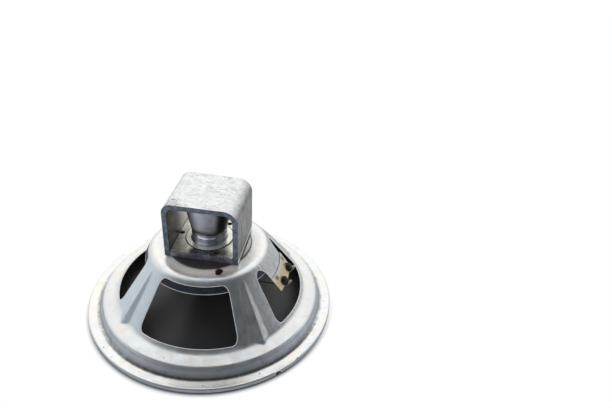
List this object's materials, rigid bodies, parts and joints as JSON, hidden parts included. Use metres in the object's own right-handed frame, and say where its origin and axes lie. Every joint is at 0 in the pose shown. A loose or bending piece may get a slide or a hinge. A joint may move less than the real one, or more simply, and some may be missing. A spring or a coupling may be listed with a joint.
{
  "type": "woofer",
  "caption": "Twelve inch moving coil woofer with an open four spoke steel basket, U shaped magnet yoke and paper cone",
  "frame": {"origin": "centre of the gasket's front face, on which the speaker lies face down", "axes": "+Z along the speaker's axis from the front to the magnet, -Y out of the yoke's open side, +X towards the terminals"},
  "size_m": [0.31, 0.31, 0.1676],
  "materials": {
    "plated_steel": "dull zinc plate, a little stained",
    "gasket_fibre": "raw pressed fibre",
    "black_cloth": "black, matt, treated cloth",
    "cone_paper": "black grey paper pulp",
    "cap_felt": "black, matt",
    "former_paper": "brown paper",
    "copper_winding": "enamelled copper wire",
    "eyelet_brass": "dull",
    "spider_cloth": "brown resin cloth",
    "ring_board": "dark blue pressed board",
    "clamp_metal": "bright",
    "dark_steel": "dark, worn",
    "plate_steel": "bright plate",
    "yoke_steel": "grey, blistered",
    "magnet_alloy": "dark blue grey, half gloss",
    "pole_steel": "turned",
    "can_metal": "drawn, shiny",
    "board_fibre": "tan laminate",
    "rusty_steel": "rusty",
    "tinned_brass": "tinned",
    "black_varnish": "black varnish",
    "lead_braid": "braided lead"
  },
  "bodies": {
    "frame": {"basket": "plated_steel", "gasket_1": "gasket_fibre", "gasket_2": "gasket_fibre", "gasket_3": "gasket_fibre", "gasket_4": "gasket_fibre", "surround": "black_cloth", "spider": "spider_cloth", "spider_ring": "ring_board", "spider_clamp": "clamp_metal", "hub_disc": "dark_steel", "pole_plate": "plate_steel", "plate_rivets": "dark_steel", "yoke": "yoke_steel", "magnet_slug": "magnet_alloy", "pole_piece": "pole_steel", "centring_can": "can_metal", "terminal_board": "board_fibre", "board_rivets": "rusty_steel", "lug_rivets": "eyelet_brass", "solder_lugs": "tinned_brass", "solder_joints": "black_varnish", "lead_wire_1": "lead_braid", "lead_wire_2": "lead_braid"},
    "diaphragm": {"cone": "cone_paper", "dust_cap": "cap_felt", "coil_former": "former_paper", "voice_coil": "copper_winding", "cone_eyelets": "eyelet_brass"}
  },
  "joints": [
    {"name": "cone_travel", "type": "slide", "parent": "frame", "child": "diaphragm", "axis": [0, 0, 1], "range_m": [-0.004, 0.004], "stiffness_N_per_m": 1500, "deforming": ["surround", "spider", "lead_wire_1", "lead_wire_2"]}
  ]
}
